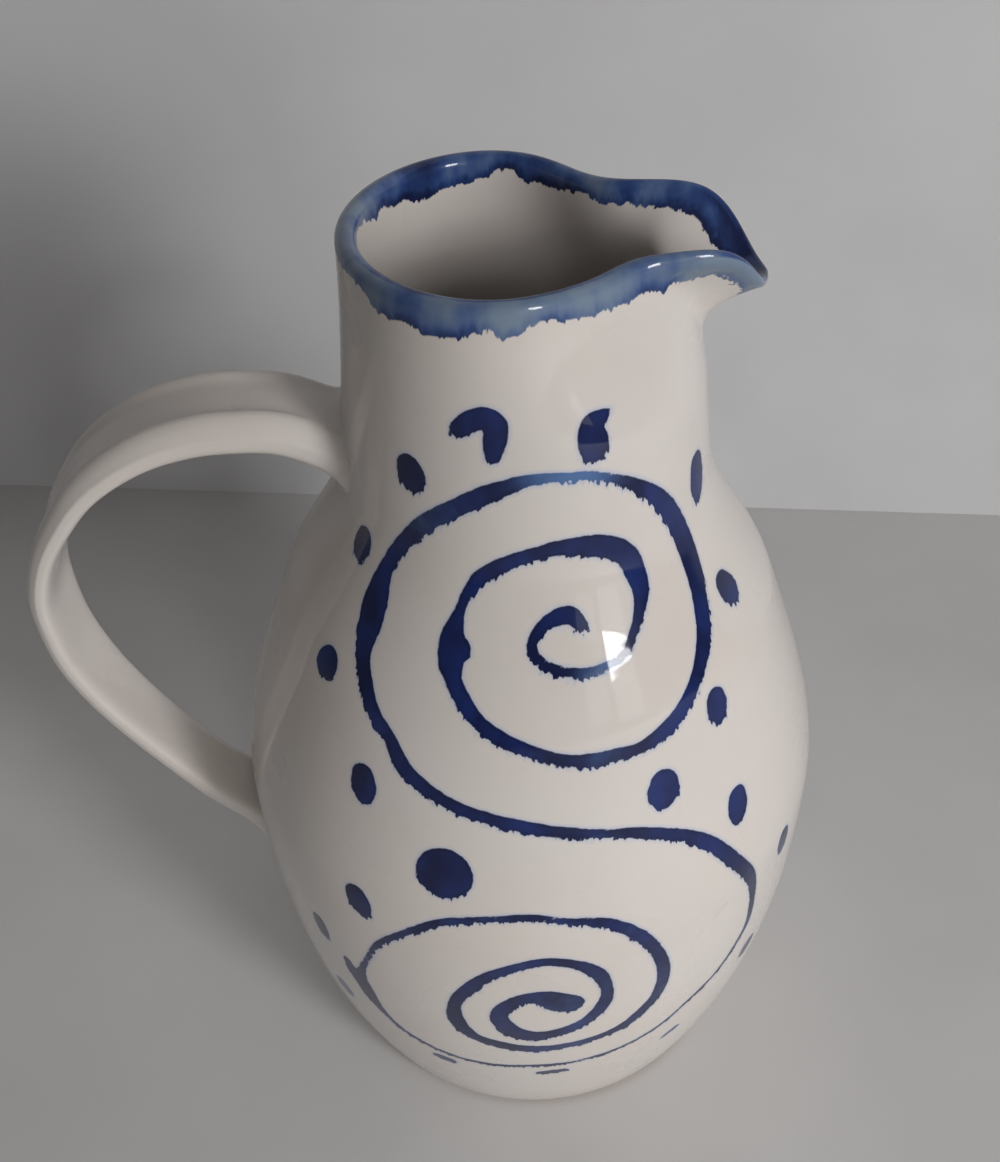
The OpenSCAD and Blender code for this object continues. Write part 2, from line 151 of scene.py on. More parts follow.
def fromBeak(bearing):  # degrees to either side of the beak
    return abs((bearing + 180) % 360 - 180)


def crestHeight(bearing):  # height of the middle of the rounded rim
    away = fromBeak(bearing)
    droop = (jug["beakDroop"] * bell(away, *jug["droopSpread"])
             + jug["throatDip"] * bell(away - jug["dipAt"], jug["dipSpread"]))
    return jug["rimHeight"] - jug["lipThickness"] / 2 - droop


def lipMiddle(bearing, z):  # radius halfway through the lip's wall, and the wall's thickness
    away = fromBeak(bearing)
    top = crestHeight(bearing)
    start = jug["lipStart"]
    share = (z - start + jug["lipLap"]) / (top - start + jug["lipLap"])
    thin = jug["beakThin"] * bell(away, jug["thinSpread"]) * max(0, share) ** jug["thinCurve"]
    thick = mix(jug["wall"], jug["lipThickness"], share) - thin
    flare = max(0.0, (z - top + jug["beakFlare"]) / jug["beakFlare"]) ** jug["flareCurve"]
    pull = jug["beakReach"] * bell(away, *jug["beakSpread"]) + jug["beakTip"] * bell(away, jug["tipSpread"])
    pinch = jug["throatPinch"] * bell(away - jug["pinchAt"], jug["pinchSpread"])
    return outerRadius(z) - thick / 2 + pull * flare - pinch * ease((z - start) / (top - start)), thick


def lipLean(bearing, z):
    return (lipMiddle(bearing, z + nudge)[0] - lipMiddle(bearing, z - nudge)[0]) / (2 * nudge)


def lipPoint(bearing, z, side):  # side 1 is the outside and -1 the inside
    radius, thick = lipMiddle(bearing, z)
    lean = lipLean(bearing, z)
    long = math.sqrt(1 + lean * lean)
    return radius + side * thick / 2 / long, z - side * thick / 2 * lean / long


def crestPoint(bearing, turn):  # over the rounded rim, turn 0 outside to 180 inside
    top = crestHeight(bearing)
    radius, thick = lipMiddle(bearing, top)
    lean = lipLean(bearing, top)
    long = math.sqrt(1 + lean * lean)
    c, s = math.cos(math.radians(turn)), math.sin(math.radians(turn))
    return radius + thick / 2 * (c + lean * s) / long, top + thick / 2 * (s - lean * c) / long


def wallRows():  # the wall's section from the foot's middle, up, over the rim and down to the floor's middle
    corner = jug["base"] + jug["insideCurve"]
    cornerRadius = offRadius(corner, -jug["wall"]) - jug["insideCurve"]
    rows = [("flat", radius, 0) for radius in jug["footRings"]]
    rows += [("flat", footRadius + out, up) for out, up in jug["bevelRings"]]
    n = jug["outsideRows"]
    rows += [("outside", mix(jug["footBevel"], jug["lipStart"], i / n), 0) for i in range(n)]
    n = jug["lipRows"]
    rows += [("lip", i / n, 1) for i in range(n)]
    n = jug["crestRows"]
    rows += [("crest", 180 * i / n, 0) for i in range(n + 1)]
    n = jug["lipRows"]
    rows += [("lip", 1 - i / n, -1) for i in range(1, n + 1)]
    n = jug["insideRows"]
    rows += [("inside", mix(jug["lipStart"], corner, i / n), 0) for i in range(1, n + 1)]
    n = jug["cornerRows"]
    for i in range(1, n + 1):
        a = math.radians(90 * i / n)
        rows.append(("flat", cornerRadius + jug["insideCurve"] * math.cos(a),
                     corner - jug["insideCurve"] * math.sin(a)))
    n = jug["floorRows"]
    rows += [("flat", cornerRadius * (1 - i / n), jug["base"]) for i in range(1, n + 1)]
    return rows


def wallPlace(row, bearing):  # a row's point at a bearing, as radius and height
    kind, at, side = row
    if kind == "flat":  # whose side is its height
        return at, side
    if kind == "outside":
        return outerRadius(at), at
    if kind == "inside":
        return offRadius(at, -jug["wall"]), at
    if kind == "lip":
        return lipPoint(bearing, mix(jug["lipStart"], crestHeight(bearing), at), side)
    return crestPoint(bearing, at)


def around(bearing, radius, z):
    a = math.radians(bearing)
    return Vector((radius * math.cos(a), radius * math.sin(a), z))


def outsidePoint(turn, z):  # turn is measured from the front line, towards the beak
    bearing = turn - 90
    if z > jug["lipStart"]:
        radius, z = lipPoint(bearing, z, 1)
        return around(bearing, radius, z)
    return around(bearing, outerRadius(z), z)


# Brushed scroll and dabs: turns in degrees from the front line, the rest in millimetres

scroll = {
    # turn, height, width, and how thin the colour ran: 0 dense to 1 watery
    "strokes": [
        [12, 157, 2.6, 0.2], [9.5, 159, 3.6, 0.1], [6, 159, 3.4, 0.0], [1.5, 157.5, 2.3, 0.0],
        [-1, 154.5, 2.0, 0.1], [0.5, 152, 2.2, 0.0], [3.5, 150.5, 2.2, 0.1], [7.5, 149.5, 2.2, 0.2],
        [12, 149, 2.0, 0.5], [16.5, 149.5, 1.8, 0.7], [21.5, 150.5, 1.6, 0.3], [24, 152.5, 1.8, 0.1],
        [27.5, 156, 2.4, 0.0], [30, 160, 3.8, 0.0], [29.5, 164, 4.6, 0.0], [27.5, 167.5, 4.6, 0.0],
        [22, 170.5, 4.8, 0.1], [15.5, 172, 4.4, 0.0], [8, 172.5, 3.4, 0.1], [-0.5, 171.5, 2.8, 0.0],
        [-9, 169, 3.2, 0.1], [-15, 166, 3.0, 0.1], [-18.5, 162.5, 2.1, 0.0], [-20, 159, 2.2, 0.0],
        [-21, 155, 4.6, 0.0], [-20.5, 151, 5.4, 0.0], [-19.5, 148, 3.6, 0.1], [-16.5, 144.5, 3.4, 0.0],
        [-12.5, 141, 3.0, 0.1], [-7, 138, 3.2, 0.0], [-1.5, 136, 2.6, 0.1], [4.5, 134, 2.5, 0.1],
        [10, 133, 3.0, 0.3], [15.5, 133, 2.9, 0.4], [21, 133, 2.6, 0.1], [27, 134.5, 3.5, 0.0],
        [32, 137, 3.3, 0.0], [37.5, 141, 3.2, 0.1], [42, 145, 3.8, 0.0], [45.5, 149.5, 4.1, 0.0],
        [48, 154.5, 4.4, 0.0], [49.5, 160.5, 5.2, 0.0], [48, 167.5, 4.8, 0.1], [42, 175, 3.8, 0.1],
        [35, 180, 3.0, 0.1], [26.5, 184, 2.1, 0.4], [19.5, 186, 1.8, 0.8], [10.5, 187, 1.8, 1.0],
        [-0.5, 187, 2.4, 0.6], [-11.5, 184.5, 3.7, 0.1], [-22.5, 180, 3.7, 0.3], [-32, 175, 3.6, 0.4],
        [-40.5, 168, 3.2, 0.0], [-44.5, 162, 3.7, 0.0], [-45, 156.5, 6.0, 0.0], [-44.5, 152, 6.2, 0.0],
        [-43.5, 146.5, 4.0, 0.1], [-40.5, 142, 3.6, 0.0], [-37, 137.5, 3.4, 0.0], [-32, 133.5, 3.1, 0.1],
        [-28, 128.5, 3.8, 0.0], [-22.5, 125.5, 3.0, 0.1], [-16, 123, 2.8, 0.0], [-9, 121.5, 2.7, 0.1],
        [-2, 120, 2.8, 0.1], [5, 118.5, 2.5, 0.2], [12.5, 117, 2.0, 0.3], [19.5, 115, 2.7, 0.1],
        [27.5, 111, 2.7, 0.2], [33.5, 105.5, 3.3, 0.1], [38.5, 97.5, 3.6, 0.1], [43.5, 88, 3.2, 0.2],
        [45.5, 79, 2.4, 0.2], [46, 68.5, 2.0, 0.2], [43.5, 62, 1.7, 0.2], [39, 55.5, 1.4, 0.1],
        [32.5, 50.5, 1.3, 0.1], [26.5, 45, 1.3, 0.1], [20.5, 41.5, 1.3, 0.0], [13.5, 39, 1.4, 0.0],
        [5.5, 37.5, 1.4, 0.0], [-2.5, 37, 1.5, 0.0], [-11, 36, 1.6, 0.0], [-19, 36.5, 1.6, 0.0],
        [-26, 38.5, 1.8, 0.0], [-32, 42, 2.0, 0.1], [-35.5, 48, 2.2, 0.2], [-37, 56, 2.2, 0.2],
        [-38, 62, 2.2, 0.2], [-35.5, 70.5, 1.5, 0.2], [-31.5, 80.5, 1.6, 0.2], [-25, 89, 1.8, 0.2],
        [-18.5, 95, 2.0, 0.2], [-10, 98, 1.7, 0.3], [-2, 99, 1.9, 0.2], [4.5, 97.5, 1.8, 0.3],
        [11.5, 95.5, 2.6, 0.1], [17, 90, 3.2, 0.2], [21, 82.5, 3.0, 0.1], [23.5, 72.5, 3.4, 0.2],
        [23, 63.5, 3.3, 0.3], [20, 57.5, 3.2, 0.1], [16, 52.5, 3.0, 0.2], [10.5, 50, 2.4, 0.3],
        [3.5, 48, 2.8, 0.3], [-2.5, 47.5, 3.5, 0.2], [-8.5, 49, 3.6, 0.2], [-14, 52, 3.6, 0.1],
        [-17, 58, 4.4, 0.1], [-17, 66, 3.0, 0.1], [-14.5, 72.5, 3.3, 0.1], [-10.5, 79, 2.9, 0.2],
        [-5, 83.5, 2.7, 0.2], [0.5, 85.5, 2.8, 0.1], [6, 83.5, 3.0, 0.1], [10, 79, 3.6, 0.2],
        [12, 72, 2.9, 0.3], [11.5, 66, 3.6, 0.2], [8.5, 60, 3.2, 0.3], [3.5, 56, 3.4, 0.2],
        [-1.5, 54.5, 4.4, 0.1], [-6, 56.5, 5.2, 0.2], [-8.5, 63, 4.2, 0.2], [-7, 68, 3.7, 0.1],
        [-3.5, 71.5, 3.8, 0.2], [0.5, 71.5, 5.8, 0.2], [3, 69.5, 7.4, 0.3], [5, 68.5, 7.0, 0.3],
    ],
    "step": 0.5,
}

# Each dab: turn, place up the jug as a share of the rim's height, width, height, slant in degrees, thinness
dabs = [
    [-37, 0.838, 6.6, 9.4, 22, 0.0], [61, 0.788, 6.4, 12.6, 0, 0.1], [-56, 0.741, 5.8, 8.6, 0, 0.2],
    [58.5, 0.682, 6.4, 9.4, 25, 0.1], [-53, 0.637, 6.8, 8.6, -10, 0.0], [41.5, 0.606, 6.0, 9.2, 0, 0.1],
    [-36.5, 0.55, 6.6, 10.4, 15, 0.0], [25, 0.556, 7.6, 10.4, -10, 0.0], [41.5, 0.498, 6.2, 10.4, -8, 0.0],
    [-18, 0.49, 12.2, 12.4, 0, 0.05], [-35.3, 0.417, 6.6, 10.4, 25, 0.2], [56, 0.388, 5.6, 9.4, 0, 0.2],
    [-48, 0.318, 5.0, 9.4, 12, 0.3], [-47.5, 0.196, 5.6, 8.6, 15, 0.5], [-22.5, 0.148, 7.0, 3.4, -12, 0.3],
    [2, 0.146, 8.6, 2.6, 8, 0.2], [30, 0.16, 6.4, 2.4, 35, 0.5], [50, 0.235, 5.6, 8.4, -20, 0.3],
]
# Bent touches of the brush: turn, height, then how far across and up each knot lies, and its half width.
# The last two lie against the scroll.
bentDabs = [
    [-14.5, 195.2, [[-4.1, 1.1, 1.8], [-2.1, 2.8, 2.1], [0.8, 3.6, 2.3], [2.6, 2.0, 2.3], [2.4, -1.1, 2.1],
                    [2.0, -3.8, 1.3]]],
    [18.6, 193.4, [[3.9, 3.2, 0.5], [2.2, 2.9, 1.2], [0.3, 1.9, 2.3], [-0.1, 0.2, 2.9], [0.0, -1.9, 2.8],
                   [-0.2, -3.6, 1.0]]],
    [-40, 57, [[-2.0, 6.8, 1.2], [-1.0, 3.6, 2.1], [0.6, 0.0, 2.4], [2.4, -6.0, 1.9], [5.0, -11.0, 0.9]]],
    [-19, 153.5, [[-1.4, 1.4, 1.5], [0.6, 0.2, 1.5], [1.6, -1.0, 1.1]]],
]
dabLaying = {
    "touches": 9,
    "taperLow": 0.28,
    "taperHigh": 0.12,
    "bentSteps": 6,  # touches from one knot to the next
    "bentThin": 0.05,
}


# Each touch of the brush is its place, half width and thinness. The back repeats the front turned half round

def scrollMarks(turned):
    marks = []
    knots = scroll["strokes"]
    for i in range(len(knots) - 1):
        a, b = outsidePoint(*knots[i][:2]), outsidePoint(*knots[i + 1][:2])
        steps = max(2, math.ceil((a - b).length / scroll["step"]))
        for k in range(steps):
            turn, z, width, thin = through(knots, i + k / steps)
            marks.append((outsidePoint(turn + turned, z), width / 2, thin))
    return marks


def dabMarks(turned):
    marks = []

    def touch(turn, z, across, up, half, thin):
        place = outsidePoint(turn + math.degrees(across / outerRadius(z + up)) + turned, z + up)
        marks.append((place, half, thin))

    for turn, share, width, height, slant, thin in dabs:
        tall = height >= width
        long, half = (height, width / 2) if tall else (width, height / 2)
        tip = max(0.0, long / 2 - half)
        lean = math.radians(slant + (90 if tall else 0))
        for k in range(dabLaying["touches"]):
            run = mix(-1, 1, k / (dabLaying["touches"] - 1))
            fat = half * (1 - dabLaying["taperLow"] * max(0, -run) - dabLaying["taperHigh"] * max(0, run))
            across, up = run * tip * math.cos(lean), run * tip * math.sin(lean)
            touch(turn, share * jug["rimHeight"], across, up, fat, thin)
    steps = dabLaying["bentSteps"]
    for turn, z, knots in bentDabs:
        for k in range((len(knots) - 1) * steps + 1):
            touch(turn, z, *through(knots, k / steps), dabLaying["bentThin"])
    return marks


# Cobalt band over the rim: degrees from the beak, depth in millimetres below the crest's middle

band = {
    "outside": [[0, 2.2], [15, 2.4], [21, 3.2], [25, 4.2], [30, 3.4], [33, 4.7], [38, 3.8], [50, 3.6],
                [60, 3], [76, 2.6], [82, 1.7], [90, 1.6], [93, 3.4], [97, 4], [102, 2], [106, 2.4],
                [111, 3.8], [121, 4.6], [125, 2.8], [136, 3.2], [141, 3], [145, 1], [150, 0], [180, 0]],
    "inside": [[0, 0.4], [14, 0.4], [18, 0.6], [22, 1.3], [26, 2.2], [29, 2.1], [34, 1.6], [45, 1.8],
               [51, 0.8], [63, 0.8], [71, 2.2], [77, 2.6], [81, 1.8], [85, 2.8], [90, 0.9], [97, 1],
               [103, 2.4], [120, 3.7], [131, 4.4], [138, 3.2], [143, 3.6], [150, 1.2], [155, 2.6],
               [162, 2], [166, 0.5], [180, 0]],
    "wander": 0.5,
    "wanderRound": 6,
    "wanderApart": 7,  # so that the two sides don't wander alike
    "crisp": 4,        # inside the beak, where the wall lies flat, the edge is drawn this much tighter
    "crispSpread": 14,
    "deepest": -12.0,  # the map of distances from the band's edge stops here and at paintReach
    # how dense the colour lies, 0 watery to 1 dark
    "outsideDense": [[0, 0.0], [22, 0.1], [32, 0.5], [48, 0.5], [60, 0.15], [88, 0.1], [110, 0.45],
                     [130, 0.4], [150, 0.2], [180, 0.1]],
    "insideDense": [[0, 0.9], [18, 0.8], [26, 0.5], [40, 0.4], [60, 0.5], [80, 0.8], [110, 0.9],
                    [145, 0.9], [162, 0.3], [180, 0.1]],
}


def bandPast(bearing, depth, side):  # how far a point lies past the band's edge, below 0 inside the band
    away = fromBeak(bearing)
    edge = along(band["outside" if side > 0 else "inside"], away)
    edge += band["wander"] * noise.noise(around(bearing, band["wanderRound"], band["wanderApart"] * side))
    past = depth - edge
    return past if side > 0 else past * (1 + band["crisp"] * bell(away, band["crispSpread"]))


def bandDense(bearing, side):
    return along(band["outsideDense" if side > 0 else "insideDense"], fromBeak(bearing))


# Modelling helpers

def clear():  # back to object mode with nothing selected
    if bpy.context.object and bpy.context.object.mode != "OBJECT":
        bpy.ops.object.mode_set(mode="OBJECT")
    bpy.ops.object.select_all(action="DESELECT")


def named(name):  # names the piece just made
    piece = bpy.context.object
    piece.name = name
    piece.data.name = name
    return piece


def pickEdges(piece, test):  # select the edges that the test holds for, and stay in edit mode
    bpy.ops.object.mode_set(mode="EDIT")
    bpy.ops.mesh.select_all(action="DESELECT")
    bpy.ops.mesh.select_mode(type="EDGE")
    bpy.ops.object.mode_set(mode="OBJECT")
    for edge in piece.data.edges:
        edge.select = test(edge)
    bpy.ops.object.mode_set(mode="EDIT")


def tidyMesh(piece):
    bpy.ops.object.mode_set(mode="EDIT")
    bpy.ops.mesh.select_all(action="SELECT")
    bpy.ops.mesh.remove_doubles(threshold=weldGap)
    bpy.ops.mesh.normals_make_consistent(inside=False)
    bpy.ops.object.mode_set(mode="OBJECT")
    bpy.ops.object.shade_smooth()


def paintMap(piece, name, values):  # a value for each vertex, which the piece's material reads
    layer = piece.data.attributes.new(name, "FLOAT", "POINT")
    layer.data.foreach_set("value", values)


# Thrown body: the wall's section is spun into a pot, then the lip is pulled from it

def spinPot(rows):
    clear()
    bpy.ops.mesh.primitive_circle_add(vertices=len(rows), radius=0.1, fill_type="NOTHING")
    body = named("jugBody")
    mesh = body.data
    for vertex, row in zip(mesh.vertices, rows):
        radius, z = wallPlace(row, 180)
        vertex.co = Vector((radius, 0, z)) * mm
    paintMap(body, "row", [float(i) for i in range(len(rows))])
    pickEdges(body, lambda e: set(e.vertices) == {0, len(rows) - 1})  # the axis isn't a wall
    bpy.ops.mesh.delete(type="EDGE")
    bpy.ops.mesh.select_all(action="SELECT")
    bpy.ops.mesh.spin(steps=jug["segments"], angle=math.tau, center=(0, 0, 0), axis=(0, 0, 1))
    bpy.ops.object.mode_set(mode="OBJECT")
    tidyMesh(body)
    print("pot spun:", len(mesh.vertices), "vertices")
    return body


def handMarks(bearing, z):
    fade = ease((z - thrown["footClear"]) / thrown["footFade"])
    fade *= ease((jug["rimHeight"] - thrown["rimClear"] - z) / thrown["rimFade"])
    ring = math.sin(math.tau * (z / thrown["pitch"] + bearing / 360))
    stray = noise.noise(around(bearing, thrown["wobbleRound"], z * thrown["wobbleUp"]))
    return fade * (thrown["ring"] * (ring - 1) + thrown["wobble"] * (stray - 1) / 2)


def pullWall(mesh, rows):  # moves each vertex to its place and returns its row and bearing
    place = mesh.attributes["row"].data
    kinds = [row[0] for row in rows]
    firstOutside = kinds.index("outside")
    lastInside = len(kinds) - 1 - kinds[::-1].index("inside")
    bearings = []
    for vertex in mesh.vertices:
        row = round(place[vertex.index].value)
        bearing = math.degrees(math.atan2(vertex.co.y, vertex.co.x))
        bearings.append((row, bearing))
        radius, z = wallPlace(rows[row], bearing)
        if radius == 0:  # the foot's and the floor's middle stay on the axis
            continue
        if firstOutside < row < lastInside:
            radius += handMarks(bearing, z)
        vertex.co = around(bearing, radius, z) * mm
    mesh.update()
    mesh.attributes.remove(mesh.attributes["row"])
    return bearings


paintReach = 9.0  # millimetres from a stroke's edge or the band's where the map of distances stops
marksTried = 8  # the touch with the nearest edge is among this many with the nearest middles
leastReach = 0.3  # a touch's middle counts as at least this far away


def markTrees():
    trees = []
    for turned in (0, 180):
        for marks in (scrollMarks(turned), dabMarks(turned)):
            tree = KDTree(len(marks))
            for i, mark in enumerate(marks):
                tree.insert(mark[0], i)
            tree.balance()
            trees.append((tree, marks))
    return trees


def nearestMark(trees, place):  # its edge's distance, its middle, its thinness, its middle's distance
    nearest = (paintReach, place, 0.0, 1.0)
    for tree, marks in trees:
        for co, index, gap in tree.find_n(place, marksTried):
            centre, half, thin = marks[index]
            if gap - half < nearest[0]:
                nearest = (gap - half, centre, thin, gap)
    return nearest


def layPaint(body, rows, bearings):
    trees = markTrees()
    kinds = [row[0] for row in rows]
    firstOutside, firstCrest = kinds.index("outside"), kinds.index("crest")
    halfCrest = jug["crestRows"] / 2
    quarterRound = math.pi * jug["lipThickness"] / 4
    edge, below, thinness, bandEdge, dense = [], [], [], [], []
    for vertex, (row, bearing) in zip(body.data.vertices, bearings):
        co = vertex.co / mm
        painted = firstOutside <= row < firstCrest
        gap, centre, thin, reach = nearestMark(trees if painted else [], co)
        edge.append(gap)
        below.append(max(-1.0, min(1.0, (centre.z - co.z) / max(leastReach, reach))))
        thinness.append(thin)
        over = (row - firstCrest) / halfCrest - 1  # over the rounded rim, from -1 outside to 1 inside
        side = 1 if over < 0 else -1
        if abs(over) <= 1:
            depth = quarterRound * (abs(over) - 1)
        else:
            depth = crestHeight(bearing) - co.z
        bandEdge.append(max(band["deepest"], min(paintReach, bandPast(bearing, depth, side))))
        dense.append(bandDense(bearing, side))
    paintMap(body, "inkEdge", edge)
    paintMap(body, "inkBelow", below)
    paintMap(body, "inkThin", thinness)
    paintMap(body, "bandEdge", bandEdge)
    paintMap(body, "bandDense", dense)
    print("paint laid out")


def makeBody():
    rows = wallRows()
    body = spinPot(rows)
    bearings = pullWall(body.data, rows)
    layPaint(body, rows, bearings)
    return body


# Pulled handle: a tube drawn along its path, its ends smeared out onto the wall

handle = {
    "top": 175.56,
    "low": 60.94,
    "out": 105.1,
    # middle line as shares of the way out and of the drop, over the arch and then back to the belly
    "topRun": [[-0.10, 0.035], [0.04, -0.010], [0.17, -0.042], [0.30, -0.048], [0.42, -0.043],
               [0.55, -0.023], [0.67, 0.013], [0.78, 0.064], [0.87, 0.131], [0.945, 0.206],
               [0.99, 0.285], [1.00, 0.360]],
    "lowRun": [[0.96, 0.475], [0.845, 0.587], [0.675, 0.696], [0.48, 0.797], [0.285, 0.886], [0.08, 0.958],
               [-0.06, 1.045]],
    # width and thickness at even steps from the neck to the belly
    "section": [[21.4, 9.8], [22.6, 9.6], [25.4, 7.4], [22.4, 5.4], [17.2, 5.4], [18, 5.4]],
    "square": 4.5,  # 2 is a round section and more is squarer
    "outerFace": 0.5,  # the groove is dished only above this share of half the thickness
    "groove": 1.7,
    "grooveWide": 0.82,
    "grooveSquare": 6,
    "grooveFade": [1 / 8, 1 / 5],  # shares of the length over which it runs out at the top and the low end
    "ridgeIn": 0.24,  # how far the outer ridges lie in from the sides, as a share
    "ridgeSpread": 0.6,  # the share of it that is lost along the stretch below
    "ridgeFrom": 0.4,
    "ridgeFade": 0.3,
    "sides": 64,
    "rings": 150,
    # where each end may meet the wall: from inside it to outside, as shares of the length, then how far the
    # clay is smeared along strap and wall, above and below
    "ends": {"top": [0, 0.2, 3.5, 9], "low": [1, 0.8, 7, 5]},
    "smearRings": 10,
    "sunk": 0.6,
    "halvings": 16,
    "ahead": 0.01,
}


def handleKnots():
    neck, belly = outerRadius(handle["top"]), outerRadius(handle["low"])
    drop = handle["top"] - handle["low"]
    return [[neck + x * (handle["out"] - neck), handle["top"] - z * drop] for x, z in handle["topRun"]] + \
        [[belly + x * (handle["out"] - belly), handle["top"] - z * drop] for x, z in handle["lowRun"]]


def strapPoint(knots, s, angle):  # s runs from 0 in the neck to 1 in the belly, angle round the section
    count = len(knots) - 1
    x, z = through(knots, s * count)
    ahead = through(knots, min(1, s + handle["ahead"]) * count)
    behind = through(knots, max(0, s - handle["ahead"]) * count)
    way = Vector((ahead[0] - behind[0], ahead[1] - behind[1])).normalized()
    width, thick = through(handle["section"], s * (len(handle["section"]) - 1))
    c, d, n = math.cos(angle), math.sin(angle), handle["square"]
    long = (abs(c) ** n + abs(d) ** n) ** (-1 / n)
    side, rise = long * c, long * d
    spread = 1 - handle["ridgeSpread"] * ease((s - handle["ridgeFrom"]) / handle["ridgeFade"])
    narrow = handle["ridgeIn"] * spread * max(0, rise)
    dish = 0
    if rise > handle["outerFace"]:
        fadeTop, fadeLow = handle["grooveFade"]
        across = max(0, 1 - abs(side / handle["grooveWide"]) ** handle["grooveSquare"])
        dish = handle["groove"] * ease(s / fadeTop) * ease((1 - s) / fadeLow) * across
    over = rise * thick / 2 - dish
    return Vector((-(x - way[1] * over), side * (1 - narrow) * width / 2, z + way[0] * over))


def ontoWall(place, off):
    radius = offRadius(place.z, off)
    long = math.hypot(place.x, place.y)
    return Vector((place.x * radius / long, place.y * radius / long, place.z))


def meetWall(knots, angle, inside, outside):  # where a line along the strap comes out of the wall
    for k in range(handle["halvings"]):
        half = (inside + outside) / 2
        place = strapPoint(knots, half, angle)
        if math.hypot(place.x, place.y) < outerRadius(place.z):
            inside = half
        else:
            outside = half
    return (inside + outside) / 2


def smearedEnd(knots, length, angle, end):  # where the smear leaves the strap, its corner and its foot
    inside, outside, legAbove, legBelow = handle["ends"][end]
    meet = meetWall(knots, angle, inside, outside)
    leg = mix(legBelow, legAbove, (math.sin(angle) + 1) / 2)
    start = meet + math.copysign(leg / length, outside - inside)
    corner = strapPoint(knots, meet, angle)
    x, z = through(knots, meet * (len(knots) - 1))
    spread = (corner - Vector((-x, 0, z))).normalized()
    return start, corner, ontoWall(corner + spread * leg, -handle["sunk"])


def makeHandle():
    sides, rings, smear = handle["sides"], handle["rings"], handle["smearRings"]
    total = rings + 2 * smear
    clear()
    bpy.ops.mesh.primitive_cylinder_add(vertices=sides, radius=0.01, depth=1, end_fill_type="NGON")
    piece = named("pulledStrap")
    mesh = piece.data
    pickEdges(piece, lambda e: mesh.vertices[e.vertices[0]].co.z * mesh.vertices[e.vertices[1]].co.z < 0)
    bpy.ops.mesh.subdivide(number_cuts=total - 1)
    bpy.ops.object.mode_set(mode="OBJECT")
    knots = handleKnots()
    length = sum((Vector(a) - Vector(b)).length for a, b in zip(knots, knots[1:]))
    angles = [math.tau * i / sides for i in range(sides)]
    ends = {end: [smearedEnd(knots, length, angle, end) for angle in angles] for end in handle["ends"]}
    for vertex in mesh.vertices:
        ring = round((vertex.co.z + 0.5) * total)
        line = round(math.atan2(vertex.co.y, vertex.co.x) / math.tau * sides) % sides
        if smear <= ring <= smear + rings:
            s = mix(ends["top"][line][0], ends["low"][line][0], (ring - smear) / rings)
            place = strapPoint(knots, s, angles[line])
        else:
            start, corner, wall = ends["top" if ring < smear else "low"][line]
            t = (smear - ring) / smear if ring < smear else (ring - smear - rings) / smear
            up = strapPoint(knots, start, angles[line])
            place = up * (1 - t) ** 2 + corner * 2 * t * (1 - t) + wall * t * t
        vertex.co = place * mm
    mesh.update()
    tidyMesh(piece)
    print("strap drawn:", len(mesh.vertices), "vertices")
    return piece


# Shader maths

class Wire:  # an output socket that can be reckoned with
    def __init__(self, finish, socket):
        self.finish = finish
        self.socket = socket

    def sum(self, operation, a, b):
        return self.finish.node("ShaderNodeMath", {"operation": operation}, {0: a, 1: b})

    def __add__(self, other):
        return self.sum("ADD", self, other)

    def __sub__(self, other):
        return self.sum("SUBTRACT", self, other)

    def __rsub__(self, other):
        return self.sum("SUBTRACT", other, self)

    def __mul__(self, other):
        return self.sum("MULTIPLY", self, other)

    def atLeast(self, other):
        return self.sum("MAXIMUM", self, other)

    def rise(self, low, high):  # 0 below low and 1 above high, eased between
        return self.finish.node("ShaderNodeMapRange", {"interpolation_type": "SMOOTHSTEP"},
                                {"Value": self, "From Min": low, "From Max": high})


class Finish:  # one material and its nodes
    def __init__(self, name):
        self.material = bpy.data.materials.new(name)
        self.material.use_nodes = True
        self.tree = self.material.node_tree
        self.shader = self.tree.nodes["Principled BSDF"]
        self.place = self.node("ShaderNodeTexCoord", out="Object")

    def node(self, kind, settings=None, values=None, out=0):
        made = self.tree.nodes.new(kind)
        for key, value in (settings or {}).items():
            setattr(made, key, value)
        for key, value in (values or {}).items():
            self.feed(made.inputs[key], value)
        return Wire(self, made.outputs[out])

    def feed(self, socket, value):
        if isinstance(value, Wire):
            self.tree.links.new(value.socket, socket)
        else:
            socket.default_value = value

    def set(self, name, value):
        self.feed(self.shader.inputs[name], value)

    def grain(self, scale, detail=2.0, rough=0.5, upright=1.0):
        place = self.place
        if upright != 1.0:
            by = (1, 1, upright)
            place = self.node("ShaderNodeVectorMath", {"operation": "MULTIPLY"}, {0: place, 1: by})
        return self.node("ShaderNodeTexNoise", None,
                         {"Vector": place, "Scale": scale, "Detail": detail, "Roughness": rough})

    def paint(self, name):
        return self.node("ShaderNodeAttribute", {"attribute_name": name}, out="Fac")

    def blend(self, share, a, b):
        mixed = self.tree.nodes.new("ShaderNodeMix")  # its colours go in at 6 and 7 and come out at 2
        mixed.data_type = "RGBA"
        self.feed(mixed.inputs["Factor"], share)
        self.feed(mixed.inputs[6], a)
        self.feed(mixed.inputs[7], b)
        return Wire(self, mixed.outputs[2])


